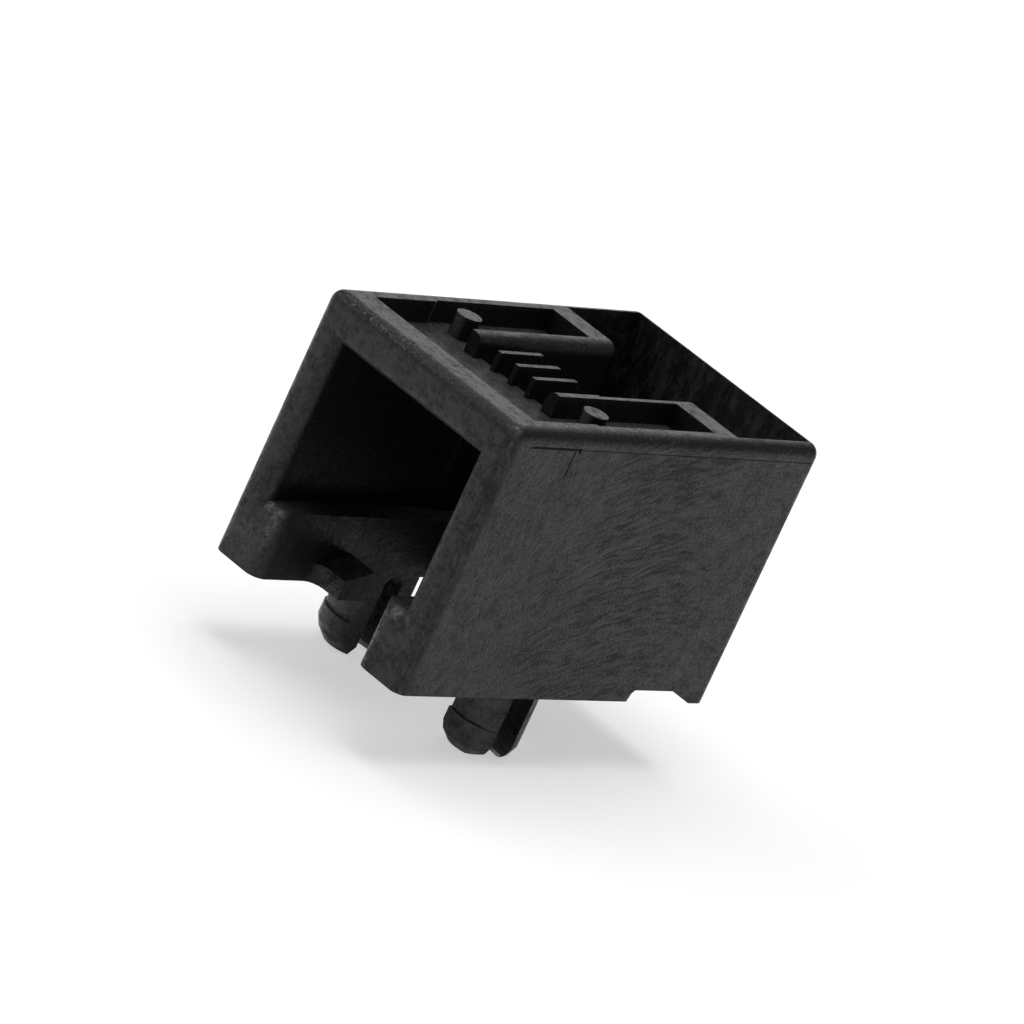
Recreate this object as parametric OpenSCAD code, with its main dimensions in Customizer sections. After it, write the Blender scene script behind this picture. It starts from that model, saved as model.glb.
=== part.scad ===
// Side-entry modular jack for a circuit board: one moulded housing and four spring contacts.
// Origin: on the board plane, midway between the two board pegs.
// +Z points up from the board, and the plug enters along +Y.

/* [Housing] */
// Width of the housing
housing_width = 11.2; // [10.6:0.1:13]
// Height of the housing above the board
housing_height = 11.6; // [11.4:0.05:13]
// Depth of the housing from front face to rear face
housing_depth = 18.2; // [17.6:0.1:21]
// Radius of the outer upright and top edges
edge_radius = 0.52; // [0.2:0.02:0.6]
// Thickness of the side walls beside the top opening
side_wall = 0.76; // [0.6:0.02:0.9]
// Thickness of the walls round the rear well
well_wall = 0.5; // [0.4:0.02:0.7]
// Depth of the flat rim over the plug opening
front_rim = 1.7; // [1.2:0.05:2.2]
// Distance from the front face to the step in the side walls
wall_step_from_front = 5.3; // [4.6:0.05:5.4]
// Width of that step, by which the walls are thicker in front of it
wall_step = 0.1; // [0.05:0.01:0.2]

/* [Plug cavity] */
// Width of the plug cavity behind its mouth
plug_width = 8.2; // [8:0.02:8.3]
// Width of the plug cavity round the plug's nose
nose_width = 7.86; // [7.7:0.02:7.9]
// Distance from the front face to the narrower nose part
nose_from_front = 9.3; // [8.5:0.1:10]
// Height of the plug cavity above its side rails
plug_height = 6.86; // [6.7:0.02:6.9]
// Depth of the plug cavity
plug_depth = 12.2; // [11.4:0.1:13]
// Height of the side rails above the board
rail_height = 2.92; // [2.6:0.02:3.2]
// Radius of the lead-in round the plug opening
lead_in_radius = 0.52; // [0.2:0.02:0.6]
// Thickness of the wall behind the plug cavity
back_wall = 1.1; // [0.8:0.05:1.3]

/* [Latch channel] */
// Width of the latch channel
latch_width = 6.12; // [6:0.02:6.6]
// Depth of the latch channel
latch_depth = 11.2; // [9.5:0.1:11.6]
// Radius of the channel's front edges
latch_edge_radius = 0.6; // [0.2:0.05:0.7]
// Gap between the two latch stops
stop_gap = 3.3; // [3.2:0.05:4]
// Distance from the front face to the latch stops
stop_from_front = 3.42; // [3:0.02:4]
// Thickness of the latch stops along the plug's way
stop_thickness = 1.46; // [1:0.02:1.6]
// Height of the latch stops at their rear, at the top of the ramp
stop_height = 1.26; // [1:0.02:1.5]
// Height of the latch stops at their front, at the foot of the ramp
stop_front_height = 0.82; // [0.5:0.02:0.9]
// Radius of the corner between a stop and the channel wall
stop_fillet = 0.65; // [0.3:0.05:0.7]
// Width of the relief behind the board pegs
window_width = 7.5; // [6.8:0.05:7.6]
// Distance from the front face to that relief
window_from_front = 9.2; // [8.9:0.05:9.6]
// Height of that relief above the board
window_height = 0.9; // [0.5:0.05:1.4]

/* [Roof and comb] */
// Thickness of the roof over the plug cavity
roof_thickness = 0.87; // [0.7:0.01:1]
// Distance from the front face to the edge of the roof in front of the contact slots
roof_edge = 5.8; // [5.2:0.05:6.2]
// Pitch of the contacts
contact_pitch = 1.016; // [1:0.002:1.05]
// Width of the opening that holds the comb
comb_width = 4; // [3.9:0.02:4.1]
// Thickness of a comb fin
fin_thickness = 0.22; // [0.18:0.01:0.36]
// Length of a comb fin
fin_length = 2.45; // [2:0.05:3]
// Distance by which the fins stay below the rim
fin_drop = 0.1; // [0.05:0.01:0.3]
// Distance by which a fin stands on the roof in front of the slots
fin_seat = 0.4; // [0.1:0.05:0.5]
// Thickness of the inner walls beside the comb
inner_wall = 0.6; // [0.45:0.05:0.7]
// Radius of the top edge of the inner walls beside the fins
inner_wall_radius = 0.4; // [0.1:0.02:0.44]
// Radius of the top edge of the inner walls behind the fins
passage_edge_radius = 0.52; // [0.2:0.02:0.54]
// Radius of the upright rear corners of the inner walls
passage_radius = 0.15; // [0.1:0.05:0.8]
// Distance from the front face to the inner walls
inner_wall_from_front = 5.3; // [5:0.05:5.7]
// Diameter of the two round posts
post_diameter = 1.04; // [0.8:0.02:1.2]
// Distance between the two posts
post_spacing = 7.56; // [7.3:0.02:7.7]
// Distance from the front face to the posts
post_from_front = 6.24; // [6:0.02:7]

/* [Board face] */
// Distance between the two board pegs
peg_spacing = 7.62; // [7.4:0.02:7.8]
// Distance from the front face to the board pegs
peg_from_front = 7.95; // [7.4:0.05:8.2]
// Diameter of a board peg
peg_diameter = 3.2; // [3:0.02:3.24]
// Length of a board peg below the board plane
peg_length = 3.2; // [2.9:0.05:3.6]
// Width of the slot that splits a peg
peg_slot = 1; // [0.8:0.02:1.2]
// Height of a slot's round end above the board plane
slot_rise = 0.36; // [0.2:0.02:0.6]
// Width of the bevel on each side of a slot's mouth
slot_bevel = 0.34; // [0.1:0.02:0.4]
// Height of that bevel
slot_bevel_height = 0.32; // [0.1:0.02:0.6]
// Angle by which the outer ends of the slots are turned towards the front
slot_turn = 7.5; // [0:0.5:12]
// Distance from the board plane down to the barb
barb_drop = 1.82; // [1.62:0.02:2]
// Width of the barb's ledge on a peg's front leg, at its middle
barb_width = 0.17; // [0.1:0.01:0.2]
// Height of the slight taper under the barb
shoulder_height = 0.4; // [0.2:0.05:0.5]
// Distance by which that taper narrows, on the radius
shoulder_taper = 0.18; // [0.05:0.01:0.2]
// Height of the steeper taper at the tip of a peg
tip_height = 0.4; // [0.3:0.02:0.5]
// Distance by which the tip narrows, on the radius
tip_taper = 0.37; // [0.2:0.01:0.4]
// Depth of the foot behind the relief under the rear of the housing
rear_foot = 1.05; // [0.8:0.05:1.4]
// Length of the relief at the board plane
relief_length = 3.75; // [3.2:0.05:4]
// Height of the relief
relief_height = 0.52; // [0.3:0.02:0.6]
// Length of the relief's front slope
relief_front_slope = 0.1; // [0.05:0.05:0.4]
// Size of the bevel at the top of the relief's front slope
relief_bevel = 0.14; // [0.05:0.01:0.2]
// Length of the relief's rear slope
relief_rear_slope = 1.25; // [0.4:0.05:1.4]

/* [Contacts] */
// Diameter of the contact wire
wire_diameter = 0.46; // [0.4:0.01:0.5]
// Angle of a contact's spring arm above the board
arm_angle = 22; // [18:0.5:24]
// Height of an arm's tip, in the middle of the wire
tip_level = 10.2; // [10:0.05:10.25]
// Distance from the front face to the tips of the arms
tip_from_front = 6; // [5.9:0.05:6.4]
// Extra radius of the wire in its bend, where forming thickens it
bend_swell = 0.01; // [0.005:0.005:0.02]
// Inner radius of the bend between arm and riser
bend_radius = 0.7; // [0.4:0.05:0.9]
// Distance from the rear face to the rear row of tails
tail_from_rear = 1.56; // [1.4:0.02:1.7]
// Distance between the two rows of tails
tail_row_spacing = 2.54; // [2:0.02:2.6]
// Length of a tail below the board plane
tail_length = 1.9; // [1.7:0.05:3.2]
// Clearance round a tail in the floor, on the radius
tail_clearance = 0.03; // [0.01:0.01:0.06]
// Thickness of the floor that holds the tails
tail_floor = 1.2; // [0.8:0.05:1.6]

/* [Hidden] */
$fn = 48;

// Overshoot of a cut past the face it opens
over = 0.5;
sides = [-1, 1];
contact_count = 4;
fin_count = contact_count - 1;
inner_half = housing_width / 2 - side_wall;
plug_top = rail_height + plug_height;
roof_top = plug_top + roof_thickness;
fin_top = housing_height - fin_drop;
fin_front = roof_edge - fin_seat;
well_front = plug_depth + back_wall;
well_floor = relief_height + tail_floor;
comb_half = comb_width / 2;
pocket_start = comb_half + inner_wall;
stop_rear = stop_from_front + stop_thickness;
peg_radius = peg_diameter / 2;
half_slot = peg_slot / 2;
// The neck above the barb is round about an axis behind the peg's own, so the ledge runs out at the slot
leg_reach = peg_radius - barb_width;
neck_shift = (peg_radius * peg_radius - leg_reach * leg_reach) / (2 * (leg_reach - half_slot));
wire_radius = wire_diameter / 2;
bend_line = bend_radius + wire_radius;
bend_turn = 90 - arm_angle;
// Length by which arm and riser run into the bend
bend_lap = 0.05;

function contact_x(index) = (index - (contact_count - 1) / 2) * contact_pitch;
function tail_y(index) = housing_depth - tail_from_rear - (1 - index % 2) * tail_row_spacing;

// Rectangle with its two far corners rounded, standing on the X axis and centred on it
module round_topped(width, height, radius) {
    translate([-width / 2, 0]) square([width, height - radius]);
    translate([-width / 2 + radius, 0]) square([width - 2 * radius, height]);
    for (side = sides) translate([side * (width / 2 - radius), height - radius]) circle(radius);
}

// Mouth of an opening in the front face: as wide as the opening, and flared by a rounded edge
module flared_mouth(width, radius) {
    difference() {
        translate([-width / 2 - radius, -over]) square([width + 2 * radius, radius + over]);
        for (side = sides) translate([side * (width / 2 + radius), radius]) circle(radius);
    }
}

// Outer form of the housing, with rounded upright edges, top edges and corners
module outer_form() {
    corner_half = housing_width / 2 - edge_radius;
    corner_top = housing_height - edge_radius;
    translate([0, housing_depth - edge_radius, 0]) rotate([90, 0, 0])
        linear_extrude(housing_depth - 2 * edge_radius)
            round_topped(housing_width, housing_height, edge_radius);
    side_profile(2 * corner_half) translate([housing_depth / 2, 0])
        round_topped(housing_depth, housing_height, edge_radius);
    for (side = sides, end = [edge_radius, housing_depth - edge_radius])
        translate([side * corner_half, end, 0]) {
            cylinder(r = edge_radius, h = corner_top);
            translate([0, 0, corner_top]) sphere(edge_radius);
        }
}

// Box that is centred on X and runs between two distances from the front face
module span_box(width, front, rear, low, high) {
    translate([-width / 2, front, low]) cube([width, rear - front, high - low]);
}

// Outline in the YZ plane, extruded along X and centred on it
module side_profile(width) {
    translate([-width / 2, 0, 0]) rotate([90, 0, 90]) linear_extrude(width) children();
}

// Space for the plug, with a mouth that is flared all round
module plug_space() {
    span_box(plug_width, -over, nose_from_front, rail_height, plug_top);
    span_box(nose_width, nose_from_front - over, plug_depth, rail_height, plug_top);
    intersection() {
        translate([0, 0, rail_height - lead_in_radius]) linear_extrude(plug_height + 2 * lead_in_radius)
            flared_mouth(plug_width, lead_in_radius);
        side_profile(plug_width + 2 * lead_in_radius)
            translate([0, rail_height + plug_height / 2]) rotate(-90)
                flared_mouth(plug_height, lead_in_radius);
    }
}

// Space for the plug's latch: open to the board in front of and behind the stops
module latch_space() {
    span_box(latch_width, -over, stop_from_front, -over, rail_height + over);
    translate([0, 0, -over]) linear_extrude(rail_height + over) flared_mouth(latch_width, latch_edge_radius);
    span_box(stop_gap, stop_from_front - over, stop_rear + over, -over, rail_height + over);
    span_box(latch_width, stop_rear, latch_depth, -over, rail_height + over);
    side_profile(latch_width) polygon([
        [stop_from_front - over, stop_front_height], [stop_from_front, stop_front_height],
        [stop_rear, stop_height], [stop_rear + over, stop_height],
        [stop_rear + over, rail_height + over], [stop_from_front - over, rail_height + over]
    ]);
    span_box(window_width, window_from_front, latch_depth, -over, window_height);
}

// Rounded corners between the latch stops and the channel walls
module stop_fillets() {
    linear_extrude(stop_front_height) for (side = sides)
        translate([side * latch_width / 2, stop_from_front]) difference() {
            translate([-stop_fillet, -stop_fillet]) square([2 * stop_fillet, 2 * stop_fillet]);
            translate([-side * stop_fillet, -stop_fillet]) circle(stop_fillet);
            translate([side > 0 ? -stop_fillet - over : stop_fillet, -stop_fillet - over])
                square([over, 2 * (stop_fillet + over)]);
        }
}

// Space above the roof and in the rear well: what it leaves are the inner walls and their end walls
module top_space() {
    top = housing_height + over;
    step_half = inner_half - wall_step;
    span_box(2 * step_half, front_rim, inner_wall_from_front, roof_top, top);
    for (side = sides) {
        pocket(side, step_half, front_rim, top);
        pocket(side, inner_half, wall_step_from_front, top);
    }
    span_box(comb_width, front_rim, plug_depth + over, roof_top, top);
    span_box(comb_width, roof_edge, plug_depth + over, plug_top - over, top);
    span_box(comb_width, plug_depth - over, well_front + over, rail_height, top);
    span_box(housing_width - 2 * well_wall, well_front, housing_depth - well_wall, well_floor, top);
}

// Pocket between an inner wall and a side wall
module pocket(side, reach, front, top) {
    translate([side > 0 ? pocket_start : -reach, front, roof_top])
        cube([reach - pocket_start, plug_depth - front, top - roof_top]);
}

// Flare of the passage towards the rear well
module passage_flare() {
    translate([0, well_front, rail_height]) linear_extrude(housing_height) rotate(180)
        flared_mouth(comb_width, passage_radius);
}

// Rounding of the inner walls' top edges on the comb's side, wider behind the fins
module wall_roundings() {
    fin_rear = fin_front + fin_length;
    wall_rounding(inner_wall_from_front - over, fin_rear, inner_wall_radius);
    wall_rounding(fin_rear, well_front + over, passage_edge_radius);
}

module wall_rounding(front, rear, radius) {
    for (side = sides) translate([side * comb_half, rear, housing_height]) rotate([90, 0, 0])
        linear_extrude(rear - front) difference() {
            square(2 * radius, center = true);
            translate([side * radius, -radius]) circle(radius);
        }
}

// Fins of the comb, one between each two contacts
module comb_fins() {
    for (index = [0 : fin_count - 1])
        translate([(index - (fin_count - 1) / 2) * contact_pitch - fin_thickness / 2, fin_front, plug_top])
            cube([fin_thickness, fin_length, fin_top - plug_top]);
}

module posts() {
    for (side = sides)
        translate([side * post_spacing / 2, post_from_front, roof_top - roof_thickness / 2])
            cylinder(d = post_diameter, h = housing_height - roof_top + roof_thickness / 2);
}

// Split peg: barbed on its front leg, and cut flat on the inside in line with the latch channel's wall
module board_peg(side) {
    shank = peg_length - shoulder_height - tip_height;
    shoulder_radius = peg_radius - shoulder_taper;
    flat_reach = (peg_spacing - latch_width) / 2;
    difference() {
        union() {
            translate([0, 0, -shank]) cylinder(r = peg_radius, h = shank + window_height);
            translate([0, 0, -shank - shoulder_height])
                cylinder(r1 = shoulder_radius, r2 = peg_radius, h = shoulder_height);
            translate([0, 0, -peg_length])
                cylinder(r1 = shoulder_radius - tip_taper, r2 = shoulder_radius, h = tip_height);
        }
        translate([0, 0, -barb_drop]) difference() {
            translate([-peg_diameter, -peg_diameter, 0]) cube([2 * peg_diameter, peg_diameter, barb_drop]);
            translate([0, neck_shift, -over]) cylinder(r = leg_reach + neck_shift, h = barb_drop + 2 * over);
        }
        translate([side > 0 ? -flat_reach - peg_diameter : flat_reach, -peg_diameter, -peg_length - over])
            cube([peg_diameter, 2 * peg_diameter, peg_length + window_height + 2 * over]);
    }
}

// Slots that split the pegs crosswise, round at the top and bevelled at their mouths
module peg_slots() {
    bevel_reach = half_slot + slot_bevel * (1 + over / slot_bevel_height);
    for (side = sides) translate([side * peg_spacing / 2, peg_from_front, 0])
        rotate(-side * slot_turn) side_profile(peg_diameter) {
            translate([0, slot_rise - half_slot]) circle(half_slot);
            polygon([
                [-half_slot, slot_rise - half_slot], [-half_slot, slot_bevel_height - peg_length],
                [-bevel_reach, -peg_length - over], [bevel_reach, -peg_length - over],
                [half_slot, slot_bevel_height - peg_length], [half_slot, slot_rise - half_slot]
            ]);
        }
}

// Relief across the board face, under the tails
module board_relief() {
    relief_rear = housing_depth - rear_foot;
    relief_front = relief_rear - relief_length;
    slope_end = relief_front + relief_front_slope;
    side_profile(housing_width + 2 * over) polygon([
        [relief_front, -over], [relief_front, 0],
        [slope_end, relief_height - relief_bevel], [slope_end + relief_bevel, relief_height],
        [relief_rear - relief_rear_slope, relief_height], [relief_rear, 0], [relief_rear, -over]
    ]);
}

// Way of each tail and riser, from the board up to the level of the plug cavity
module tail_holes() {
    for (index = [0 : contact_count - 1])
        translate([contact_x(index), tail_y(index), 0])
            cylinder(r = wire_radius + tail_clearance, h = rail_height + over);
}

module housing() {
    color("#26272a") translate([0, -peg_from_front, 0]) difference() {
        union() {
            difference() {
                outer_form();
                plug_space();
                latch_space();
                top_space();
                passage_flare();
                wall_roundings();
            }
            stop_fillets();
            comb_fins();
            posts();
            for (side = sides) translate([side * peg_spacing / 2, peg_from_front, 0]) board_peg(side);
        }
        peg_slots();
        board_relief();
        tail_holes();
    }
}

// Contact wire in the YZ plane: tail and riser, bend, and spring arm up to the comb
module contact(index) {
    riser_y = tail_y(index);
    bend_end_y = riser_y - bend_line * (1 - cos(bend_turn));
    arm_length = (bend_end_y - tip_from_front) / cos(arm_angle);
    bend_end_z = tip_level - arm_length * sin(arm_angle);
    bend_start_z = bend_end_z - bend_line * sin(bend_turn);
    color("#c9a24b") translate([contact_x(index), -peg_from_front, 0]) {
        translate([0, riser_y, -tail_length])
            cylinder(r = wire_radius, h = bend_start_z + tail_length + bend_lap);
        translate([0, riser_y - bend_line, bend_start_z]) rotate([90, 0, 90])
            rotate_extrude(angle = bend_turn) translate([bend_line, 0]) circle(wire_radius + bend_swell);
        translate([0, bend_end_y, bend_end_z]) rotate([bend_turn, 0, 0]) translate([0, 0, -bend_lap])
            cylinder(r = wire_radius, h = arm_length + bend_lap);
    }
}

module contact_1() { contact(0); }
module contact_2() { contact(1); }
module contact_3() { contact(2); }
module contact_4() { contact(3); }

housing();
contact_1();
contact_2();
contact_3();
contact_4();
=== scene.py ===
from math import radians

import bpy
from mathutils import Matrix, Vector


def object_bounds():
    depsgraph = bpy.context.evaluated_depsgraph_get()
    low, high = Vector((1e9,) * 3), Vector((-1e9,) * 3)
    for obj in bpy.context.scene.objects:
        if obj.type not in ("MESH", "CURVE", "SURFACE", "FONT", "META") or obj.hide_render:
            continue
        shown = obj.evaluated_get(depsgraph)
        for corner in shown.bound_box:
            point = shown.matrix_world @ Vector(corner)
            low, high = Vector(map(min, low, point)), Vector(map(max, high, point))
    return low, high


# Side-entry modular jack: black moulded housing and four formed wire contacts, on a pale floor.

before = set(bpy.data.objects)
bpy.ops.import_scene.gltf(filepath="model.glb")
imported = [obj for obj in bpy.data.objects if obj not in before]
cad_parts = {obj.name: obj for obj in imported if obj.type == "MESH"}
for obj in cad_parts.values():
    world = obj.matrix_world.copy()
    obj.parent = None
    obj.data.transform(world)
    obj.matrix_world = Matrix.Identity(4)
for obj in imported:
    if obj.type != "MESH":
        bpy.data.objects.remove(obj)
cad_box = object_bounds()
scene = bpy.context.scene
scene.view_settings.view_transform = "Standard"

MM = 0.001

# Places on the housing in millimetres, from the frame's box
HALF_WIDTH = cad_box[1][0] / MM
FRONT = cad_box[0][1] / MM
REAR = cad_box[1][1] / MM
TOP = cad_box[1][2] / MM
MIDDLE = (FRONT + REAR) / 2
HALF_DEPTH = (REAR - FRONT) / 2

# Marks of the mould: the parting line's height, and where an insert ends on the right side
PARTING_LINE = TOP - 0.67
INSERT_END = FRONT + 4.01
TICK = FRONT + 3.69
TICK_FOOT = TOP - 1.92

# The step in the inner walls, the posts and the rear well
WALL_STEP = FRONT + 5.23
WALL_STEP_INNER = 4.68
WALL_STEP_OUTER = 4.92
POST_AXIS = (3.78, FRONT + 6.24, 0.0)
POST_RADIUS = 0.52
POST_FOOT = TOP - 1.6
WELL_FRONT = FRONT + 13.25
WELL_HALF_WIDTH = 5.15

# Left edge of the latch channel, along which a highlight is painted
CHANNEL_EDGE = -3.42

# Painted highlights and light, a pale patch and two small marks on the housing: place and radius in
# millimetres, and strength
HIGHLIGHT_AND_MARK_SPOTS = [
    # Painted highlights on the rounded tops of the shoulders, then at the front-right top corner
    ((3.84, -7.86, 2.64), 0.36, 1.0),
    ((-3.9, -7.8, 2.74), 0.3, 1.0),
    ((-3.4, -7.75, 2.7), 0.3, 1.0),
    ((5.3, -7.75, 11.36), 0.36, 0.4),
    # A pale patch low on the front of the left foot
    ((-4.5, -7.95, 1.1), 1.3, 0.22),
    # Two small marks on the right side
    ((5.6, -4.93, 9.54), 0.07, 1.0),
    ((5.6, -5.6, 3.78), 0.08, 1.0),
    # Painted highlight at the right barb's ledge, painted light on the right peg's front, painted highlight
    # at the left barb's ledge
    ((4.92, -1.15, -1.82), 0.16, 1.0),
    ((4.8, -1.2, -1.6), 0.9, 0.2),
    ((-3.38, -1.4, -1.8), 0.14, 1.0),
]

# Colours of the plastic, of what has worn it or settled on it, and of the highlights and light painted on it
DARK_SKIN = (0.001, 0.001, 0.001, 1)
PALE_SKIN = (0.015, 0.015, 0.0154, 1)
SETTLED_DUST = (0.057, 0.056, 0.054, 1)
WELL_LIGHT_TINT = (0.05, 0.05, 0.051, 1)
WORN_EDGE_AND_HIGHLIGHT = (0.11, 0.11, 0.112, 1)
STEP_AND_POST_HIGHLIGHT = (0.09, 0.09, 0.091, 1)
PEG_LIGHT_TINT = (0.08, 0.08, 0.081, 1)
HIGHLIGHT_AND_MARK_TINT = (0.12, 0.12, 0.122, 1)
DUST_SPECK = (0.25, 0.245, 0.24, 1)

# The plastic's tone runs over this range, from dull and dark to glossy and pale
TONE_LOW = 0.38
TONE_HIGH = 0.62
DULL_ROUGHNESS = 0.64
GLOSSY_ROUGHNESS = 0.18
LEVEL_ROUGHNESS = 0.4
SPECULAR_LEVEL = 0.31

# Heights of the plastic's relief
GRAIN_HEIGHT = 0.026 * MM
SWELL_HEIGHT = 0.035 * MM
LINE_DEPTH = 0.07 * MM

# Colours of the contacts' plating, and the height of its draw lines
DEEP_GOLD = (0.72, 0.47, 0.16, 1)
LIGHT_GOLD = (0.88, 0.64, 0.3, 1)
DRAW_LINE_HEIGHT = 0.004 * MM


class Nodes:
    """Short names for the nodes of one material or world."""

    def __init__(self, tree):
        self.tree = tree

    def new(self, kind):
        return self.tree.nodes.new(kind)

    def put(self, socket, value):
        """Links an output to a socket, or sets the socket to a plain value."""
        if isinstance(value, bpy.types.NodeSocket):
            self.tree.links.new(value, socket)
        else:
            socket.default_value = value

    def math(self, operation, first, second=0.0):
        node = self.new("ShaderNodeMath")
        node.operation = operation
        self.put(node.inputs[0], first)
        self.put(node.inputs[1], second)
        return node.outputs[0]

    def absolute(self, value):
        return self.math("ABSOLUTE", value)

    def add(self, total, *values):
        for value in values:
            total = self.math("ADD", total, value)
        return total

    def times(self, product, *values):
        for value in values:
            product = self.math("MULTIPLY", product, value)
        return product

    def largest(self, most, *values):
        for value in values:
            most = self.math("MAXIMUM", most, value)
        return most

    def remap(self, value, low, high, to_low, to_high):
        """Linear step from to_low at low to to_high at high, held outside."""
        node = self.new("ShaderNodeMapRange")
        node.clamp = True
        self.put(node.inputs["Value"], value)
        node.inputs["From Min"].default_value = low
        node.inputs["From Max"].default_value = high
        node.inputs["To Min"].default_value = to_low
        node.inputs["To Max"].default_value = to_high
        return node.outputs["Result"]

    def rise(self, value, low, high):
        return self.remap(value, low, high, 0.0, 1.0)

    def fall(self, value, low, high):
        return self.remap(value, low, high, 1.0, 0.0)

    def near(self, value, centre, inner, outer):
        """1 within inner of the centre, 0 beyond outer."""
        return self.fall(self.absolute(self.add(value, -centre)), inner, outer)

    def combine(self, x, y, z):
        node = self.new("ShaderNodeCombineXYZ")
        for socket, value in zip(node.inputs, (x, y, z)):
            self.put(socket, value)
        return node.outputs["Vector"]

    def split(self, vector):
        node = self.new("ShaderNodeSeparateXYZ")
        self.put(node.inputs["Vector"], vector)
        return node.outputs["X"], node.outputs["Y"], node.outputs["Z"]

    def vector_math(self, operation, vector, other):
        node = self.new("ShaderNodeVectorMath")
        node.operation = operation
        self.put(node.inputs[0], vector)
        node.inputs[1].default_value = other
        return node.outputs

    def scaled(self, vector, factors):
        return self.vector_math("MULTIPLY", vector, factors)["Vector"]

    def distance(self, place, centre):
        return self.vector_math("DISTANCE", place, centre)["Value"]

    def millimetres(self):
        """Place on the object in millimetres."""
        place = self.new("ShaderNodeTexCoord").outputs["Object"]
        return self.scaled(place, (1 / MM, 1 / MM, 1 / MM))

    def noise(self, vector, scale, detail=3.0, roughness=0.55, distortion=0.0):
        node = self.new("ShaderNodeTexNoise")
        self.put(node.inputs["Vector"], vector)
        node.inputs["Scale"].default_value = scale
        node.inputs["Detail"].default_value = detail
        node.inputs["Roughness"].default_value = roughness
        node.inputs["Distortion"].default_value = distortion
        return node.outputs["Fac"]

    def specks(self, place, scale, size, share):
        """Sparse round specks: one in each of a share of the cells."""
        node = self.new("ShaderNodeTexVoronoi")
        self.put(node.inputs["Vector"], place)
        node.inputs["Scale"].default_value = scale
        chosen = self.math("GREATER_THAN", self.split(node.outputs["Color"])[0], 1 - share)
        return self.times(chosen, self.fall(node.outputs["Distance"], size * 0.5, size))

    def spot(self, place, centre, radius):
        """Soft round spot about a place on the object."""
        return self.fall(self.distance(place, centre), radius * 0.4, radius)

    def blend_value(self, factor, first, second):
        node = self.new("ShaderNodeMix")
        node.data_type = "FLOAT"
        self.put(node.inputs["Factor"], factor)
        self.put(node.inputs["A"], first)
        self.put(node.inputs["B"], second)
        return node.outputs["Result"]

    def blend_colour(self, factor, first, second):
        node = self.new("ShaderNodeMix")
        node.data_type = "RGBA"
        ends = [socket for socket in node.inputs if socket.type == "RGBA"]
        self.put(node.inputs["Factor"], factor)
        self.put(ends[0], first)
        self.put(ends[1], second)
        return [socket for socket in node.outputs if socket.type == "RGBA"][0]

    def bump(self, height, distance, normal=None):
        node = self.new("ShaderNodeBump")
        node.inputs["Strength"].default_value = 1.0
        node.inputs["Distance"].default_value = distance
        self.put(node.inputs["Height"], height)
        if normal is not None:
            self.put(node.inputs["Normal"], normal)
        return node.outputs["Normal"]


class Skin(Nodes):
    """The housing's surface: place in millimetres, facing, and the noises that its marks share."""

    def __init__(self, tree):
        super().__init__(tree)
        self.place = self.millimetres()
        self.x, self.y, self.z = self.split(self.place)
        self.side = self.absolute(self.x)
        self.across, self.along, self.up = self.split(self.new("ShaderNodeNewGeometry").outputs["Normal"])
        self.grain = self.noise(self.place, 8.0, 2.0, 0.65)
        self.mottle = self.noise(self.place, 2.6, 3.0, 0.62, 0.3)
        self.clouds = self.noise(self.place, 0.45, 2.0)


def new_material(name):
    """An empty material: the material, its tree and its output's surface socket."""
    material = bpy.data.materials.new(name)
    material.use_nodes = True
    tree = material.node_tree
    tree.nodes.clear()
    output = tree.nodes.new("ShaderNodeOutputMaterial")
    return material, tree, output.inputs["Surface"]


def principled(nodes, surface):
    shader = nodes.new("ShaderNodeBsdfPrincipled")
    nodes.put(surface, shader.outputs["BSDF"])
    return shader


# Black moulded plastic

def skin_tone(skin):
    """Tone of the plastic, and the mottling that swells its surface.

    The sides have flow marks: upright near the front, then swept to the rear and rising in slow waves.
    """
    sway = skin.remap(skin.noise(skin.place, 0.33, 2.0), 0.2, 0.8, -1.0, 1.0)
    reach = skin.add(skin.y, sway)
    run = skin.add(skin.y, 2.0)
    arc = skin.times(run, skin.add(skin.times(run, 0.026), -0.45))
    swept = skin.add(skin.z, arc, skin.times(sway, 0.4))
    rear_course = skin.combine(skin.times(swept, 6.0), skin.y, skin.x)
    upright = skin.add(skin.y, skin.times(sway, 0.3))
    front_course = skin.combine(skin.times(upright, 5.0), skin.times(skin.z, 1.5), skin.x)
    front_marks = skin.noise(front_course, 1.0, 2.0, 0.55, 0.2)
    rear_marks = skin.noise(rear_course, 1.0, 2.0, 0.55, 0.2)
    flow = skin.blend_value(skin.rise(reach, -4.6, -1.4), front_marks, rear_marks)

    sideways = skin.rise(skin.absolute(skin.across), 0.6, 0.9)
    marked = skin.times(
        sideways, skin.remap(reach, -3.0, 0.0, 0.4, 1.0), skin.remap(reach, 3.5, 7.5, 1.0, 0.4))
    mottling = skin.blend_value(skin.times(marked, 0.85), skin.mottle, flow)
    blotches = skin.noise(skin.place, 1.0, 2.0)
    dashes = skin.times(marked, skin.fall(flow, 0.34, 0.48))
    tone = skin.add(
        skin.times(mottling, 0.4), skin.times(skin.grain, 0.36),
        skin.times(blotches, 0.13), skin.times(skin.clouds, 0.11),
        skin.times(dashes, -0.026), skin.times(sideways, 0.014), skin.times(marked, -0.044))

    # The front face is the more mottled one
    contrast = skin.remap(skin.along, -0.95, -0.6, 1.5, 1.0)
    tone = skin.add(skin.times(skin.add(tone, -0.5), contrast), 0.5)
    return tone, mottling


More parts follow.
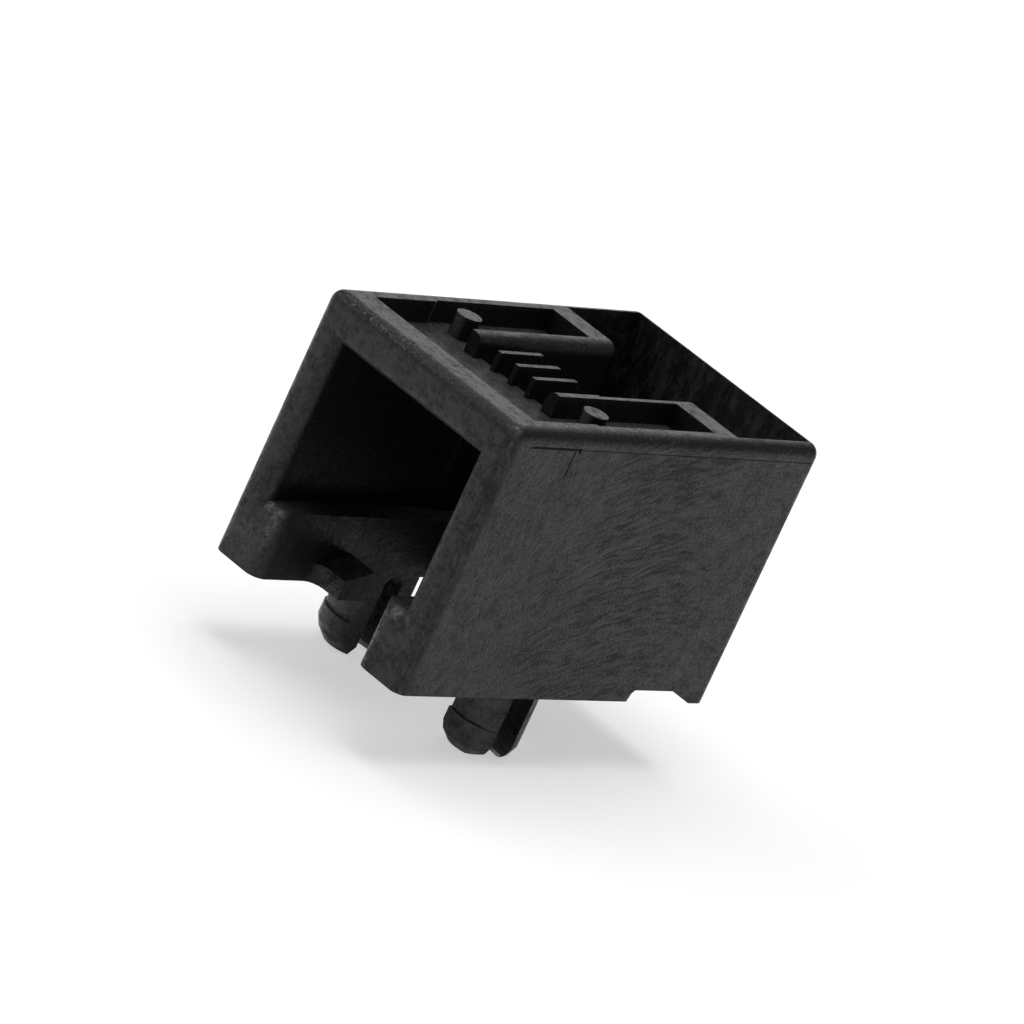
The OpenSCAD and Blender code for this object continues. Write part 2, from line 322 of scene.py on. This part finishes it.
def mould_lines(skin):
    """The parting line under the top edges of the sides, and the end of a mould insert on the right side."""
    outside = skin.rise(skin.side, HALF_WIDTH - 0.15, HALF_WIDTH - 0.1)
    broken = skin.remap(skin.grain, 0.36, 0.56, 0.2, 0.75)
    parting = skin.times(
        outside, skin.near(skin.z, PARTING_LINE, 0.012, 0.042), broken,
        skin.rise(skin.y, FRONT + 0.75, FRONT + 1.35))

    # The insert's end: a bolder line from the front, a nick and a short upright tick
    on_right = skin.rise(skin.x, HALF_WIDTH - 0.15, HALF_WIDTH - 0.1)
    bold = skin.times(
        skin.near(skin.z, PARTING_LINE, 0.02, 0.065),
        skin.rise(skin.y, FRONT + 0.85, FRONT + 1.35), skin.fall(skin.y, INSERT_END, INSERT_END + 0.04))
    tick = skin.times(
        skin.near(skin.y, TICK, 0.02, 0.06),
        skin.rise(skin.z, TICK_FOOT, TICK_FOOT + 0.17),
        skin.fall(skin.z, PARTING_LINE - 0.03, PARTING_LINE + 0.02))
    nick = skin.spot(skin.place, (HALF_WIDTH, INSERT_END - 0.08, PARTING_LINE - 0.04), 0.14)
    return skin.largest(parting, skin.times(on_right, skin.largest(nick, bold, tick)))


def worn_edges_and_corner_highlights(skin):
    """Worn spots along the outer top edges, and painted highlights drawn out in streaks along the upright
    edges by the mouth.
    """
    sloped = skin.times(skin.rise(skin.up, 0.3, 0.6), skin.fall(skin.up, 0.9, 0.98))
    patches = skin.times(skin.rise(skin.clouds, 0.5, 0.62), skin.rise(skin.grain, 0.58, 0.7))
    front_edge = skin.times(
        skin.fall(skin.x, -1.2, 0.4), skin.fall(skin.y, FRONT + 0.45, FRONT + 0.55),
        skin.rise(skin.grain, 0.55, 0.66))
    top_edges = skin.times(sloped, skin.largest(patches, front_edge))

    corner = skin.times(
        skin.rise(skin.side, HALF_WIDTH - 0.6, HALF_WIDTH - 0.5),
        skin.fall(skin.y, FRONT + 0.55, FRONT + 0.65),
        skin.rise(skin.absolute(skin.across), 0.3, 0.55), skin.fall(skin.along, -0.45, -0.25))
    drawn_out = skin.noise(skin.scaled(skin.place, (7.0, 7.0, 1.6)), 1.0, 3.0, 0.6)
    corner_highlights = skin.times(corner, skin.rise(drawn_out, 0.52, 0.64))
    return skin.largest(top_edges, skin.times(corner_highlights, 0.5))


def painted_step_and_post_highlights(skin):
    """Painted highlights: the pale edge of the step in the inner walls, and a painted reflection on the
    fronts of the posts beside it.
    """
    step = skin.times(
        skin.near(skin.y, WALL_STEP, 0.02, 0.05), skin.rise(skin.z, TOP - 1.0, TOP - 0.7),
        skin.rise(skin.side, WALL_STEP_INNER, WALL_STEP_INNER + 0.02),
        skin.fall(skin.side, WALL_STEP_OUTER - 0.02, WALL_STEP_OUTER))
    from_axis = skin.distance(skin.combine(skin.side, skin.y, 0.0), POST_AXIS)
    post = skin.times(
        skin.fall(from_axis, POST_RADIUS + 0.02, POST_RADIUS + 0.04), skin.fall(skin.along, -0.96, -0.8),
        skin.remap(skin.z, POST_FOOT, POST_FOOT + 0.1, 0.0, 0.6))
    return skin.largest(step, post)


def painted_peg_light(skin):
    """Painted light on the fronts of the pegs, making them paler."""
    return skin.times(
        skin.fall(skin.z, -0.5, -0.1), skin.fall(skin.y, -1.2, -0.5),
        skin.remap(skin.mottle, 0.36, 0.62, 0.15, 0.6))


def painted_highlights_and_marks(skin):
    """Painted highlight along the left edge of the latch channel, and the painted highlights, painted light,
    pale patch and marks in the list.
    """
    highlights_and_marks = skin.times(
        skin.near(skin.x, CHANNEL_EDGE, 0.04, 0.24), skin.fall(skin.y, FRONT + 0.25, FRONT + 0.55),
        skin.rise(skin.z, 0.5, 2.2), skin.fall(skin.z, 2.6, 3.0))
    for centre, radius, strength in HIGHLIGHT_AND_MARK_SPOTS:
        highlights_and_marks = skin.largest(highlights_and_marks, skin.times(skin.spot(skin.place, centre, radius), strength))
    return skin.times(highlights_and_marks, skin.remap(skin.grain, 0.38, 0.6, 0.2, 1.0))


def settled_dust(skin):
    """Dust on level faces, thicker on the sunk roof than on the rim."""
    fine = skin.noise(skin.place, 11.0, 2.0, 0.6)
    powder = skin.add(skin.times(skin.mottle, 0.5), skin.times(fine, 0.5))
    return skin.times(
        skin.rise(skin.up, 0.8, 0.98), skin.remap(powder, 0.4, 0.6, 0.1, 1.0),
        skin.remap(skin.z, TOP - 0.8, TOP - 0.4, 1.0, 0.5))


def painted_well_light(skin):
    """Painted light: pale streaks on the walls of the rear well, where light falls on them."""
    in_well = skin.times(
        skin.rise(skin.y, WELL_FRONT, WELL_FRONT + 0.1),
        skin.fall(skin.side, WELL_HALF_WIDTH, WELL_HALF_WIDTH + 0.05))
    streaks = skin.noise(skin.scaled(skin.place, (2.2, 1.0, 0.9)), 1.3, 4.0, 0.68, 0.6)
    return skin.times(in_well, skin.rise(streaks, 0.45, 0.75))


def moulded_plastic():
    material, tree, surface = new_material("moulded_plastic")
    skin = Skin(tree)
    shader = principled(skin, surface)
    tone, mottling = skin_tone(skin)
    lines = mould_lines(skin)

    colour = skin.blend_colour(skin.rise(tone, TONE_LOW, TONE_HIGH), DARK_SKIN, PALE_SKIN)
    # Layers over the tone: dust, painted well light, mould lines, worn edges with painted corner highlights,
    # painted step and post highlights, painted peg light, painted highlights with marks, and dust specks
    layers = [
        (settled_dust(skin), SETTLED_DUST),
        (painted_well_light(skin), WELL_LIGHT_TINT),
        (lines, DARK_SKIN),
        (skin.times(worn_edges_and_corner_highlights(skin), 0.8), WORN_EDGE_AND_HIGHLIGHT),
        (painted_step_and_post_highlights(skin), STEP_AND_POST_HIGHLIGHT),
        (painted_peg_light(skin), PEG_LIGHT_TINT),
        (painted_highlights_and_marks(skin), HIGHLIGHT_AND_MARK_TINT),
        (skin.specks(skin.place, 1.3, 0.06, 0.04), DUST_SPECK),
    ]
    for mask, tint in layers:
        colour = skin.blend_colour(mask, colour, tint)
    skin.put(shader.inputs["Base Color"], colour)

    # Satin skin, calmer on level faces and matt in the mould's lines
    satin = skin.remap(tone, TONE_LOW, TONE_HIGH, DULL_ROUGHNESS, GLOSSY_ROUGHNESS)
    calm = skin.remap(skin.up, 0.8, 0.98, 0.0, LEVEL_ROUGHNESS)
    skin.put(shader.inputs["Roughness"], skin.largest(satin, calm, lines))
    shader.inputs["Specular IOR Level"].default_value = SPECULAR_LEVEL

    relief = skin.bump(skin.grain, GRAIN_HEIGHT)
    swell = skin.times(mottling, skin.remap(skin.up, 0.75, 0.98, 1.0, 0.35))
    relief = skin.bump(swell, SWELL_HEIGHT, relief)
    relief = skin.bump(lines, -LINE_DEPTH, relief)
    skin.put(shader.inputs["Normal"], relief)
    return material


# Gold plated wire: draw lines along the wire and a slight warm unevenness of the plating

def plated_wire():
    material, tree, surface = new_material("plated_wire")
    nodes = Nodes(tree)
    shader = principled(nodes, surface)
    place = nodes.millimetres()
    drawn = nodes.noise(nodes.scaled(place, (9.0, 1.6, 1.6)), 2.2, 3.0, 0.6)
    plating = nodes.noise(place, 1.7, 3.0, 0.6)
    nodes.put(shader.inputs["Base Color"], nodes.blend_colour(plating, DEEP_GOLD, LIGHT_GOLD))
    nodes.put(shader.inputs["Roughness"], nodes.remap(drawn, 0.3, 0.7, 0.22, 0.38))
    nodes.put(shader.inputs["Normal"], nodes.bump(drawn, DRAW_LINE_HEIGHT))
    shader.inputs["Metallic"].default_value = 1.0
    return material


plastic = moulded_plastic()
wire = plated_wire()
for name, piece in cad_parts.items():
    piece.data.materials.clear()
    piece.data.materials.append(plastic if name == "housing" else wire)


# Pale floor: lit as any floor, with a lift for the camera that brings it to white and keeps the shadow.
# In gloss and through glass the lift fades under the part, where the floor lies in its shadow.

FLOOR_COLOUR = (0.62, 0.62, 0.62, 1)
FLOOR_LIFT = 0.5
FLOOR_REACH = 6.0


def floor_material():
    material, tree, surface = new_material("floor")
    nodes = Nodes(tree)
    diffuse = nodes.new("ShaderNodeBsdfDiffuse")
    diffuse.inputs["Color"].default_value = FLOOR_COLOUR
    x, y = nodes.split(nodes.millimetres())[:2]
    beside = nodes.add(nodes.absolute(x), -HALF_WIDTH)
    beyond = nodes.add(nodes.absolute(nodes.add(y, -MIDDLE)), -HALF_DEPTH)
    open_floor = nodes.remap(nodes.largest(beside, beyond), -3.2, -1.0, 0.1, 1.0)
    rays = nodes.new("ShaderNodeLightPath")
    mirrored = nodes.add(rays.outputs["Is Glossy Ray"], rays.outputs["Is Transmission Ray"])
    seen = nodes.add(rays.outputs["Is Camera Ray"], nodes.times(mirrored, open_floor))
    lift = nodes.new("ShaderNodeEmission")
    nodes.put(lift.inputs["Strength"], nodes.times(nodes.rise(seen, 0.0, 1.0), FLOOR_LIFT))
    total = nodes.new("ShaderNodeAddShader")
    nodes.put(total.inputs[0], diffuse.outputs["BSDF"])
    nodes.put(total.inputs[1], lift.outputs["Emission"])
    nodes.put(surface, total.outputs["Shader"])
    return material


floor_level = cad_box[0][2]
corners = [(-1, -1), (1, -1), (1, 1), (-1, 1)]
floor_mesh = bpy.data.meshes.new("floor")
floor_mesh.from_pydata(
    [(x * FLOOR_REACH, y * FLOOR_REACH, floor_level) for x, y in corners], [], [(0, 1, 2, 3)])
floor_mesh.materials.append(floor_material())
floor = bpy.data.objects.new("floor", floor_mesh)
scene.collection.objects.link(floor)


# Studio: a dim room with a white horizon and three soft lights, overhead, low behind and high on the left

ROOM_LIGHT = 0.16

world = bpy.data.worlds.new("studio")
world.use_nodes = True
sky = Nodes(world.node_tree)
height = sky.split(sky.new("ShaderNodeTexCoord").outputs["Generated"])[2]
background = world.node_tree.nodes["Background"]
sky.put(background.inputs["Strength"], sky.remap(height, 0.06, 0.13, 1.0, ROOM_LIGHT))
background.inputs["Color"].default_value = (1, 1, 1, 1)
scene.world = world


def soft_light(name, place, width, height, power):
    """A soft box that looks at the middle of the housing."""
    lamp = bpy.data.lights.new(name, "AREA")
    lamp.shape = "RECTANGLE"
    lamp.size = width
    lamp.size_y = height
    lamp.energy = power
    box = bpy.data.objects.new(name, lamp)
    target = Vector((0, MIDDLE * MM, 5 * MM))
    box.location = Vector(place)
    box.rotation_euler = (target - box.location).to_track_quat("-Z", "Y").to_euler()
    scene.collection.objects.link(box)


soft_light("light_top", (-0.02, 0.01, 0.40), 0.32, 0.32, 1.15)
soft_light("light_back", (-0.30, 0.39, 0.165), 0.36, 0.22, 0.32)
soft_light("light_left", (-0.30, -0.25, 0.31), 0.36, 0.36, 0.5)


# Camera at the photograph's viewing angle, turned about its own axis as the picture is

CAMERA_PLACE = Vector((205.54, -266.71, 115.66)) * MM
CAMERA_TARGET = Vector((-0.2154, 1.31495, 5.0)) * MM
CAMERA_ROLL = radians(24.8712)

lens = bpy.data.cameras.new("camera")
lens.sensor_width = 36
lens.lens = 322.36
lens.clip_start = 0.01
camera = bpy.data.objects.new("camera", lens)
aim = (CAMERA_TARGET - CAMERA_PLACE).to_track_quat("-Z", "Y").to_matrix().to_4x4()
camera.matrix_world = Matrix.Translation(CAMERA_PLACE) @ aim @ Matrix.Rotation(CAMERA_ROLL, 4, "Z")
scene.collection.objects.link(camera)
scene.camera = camera
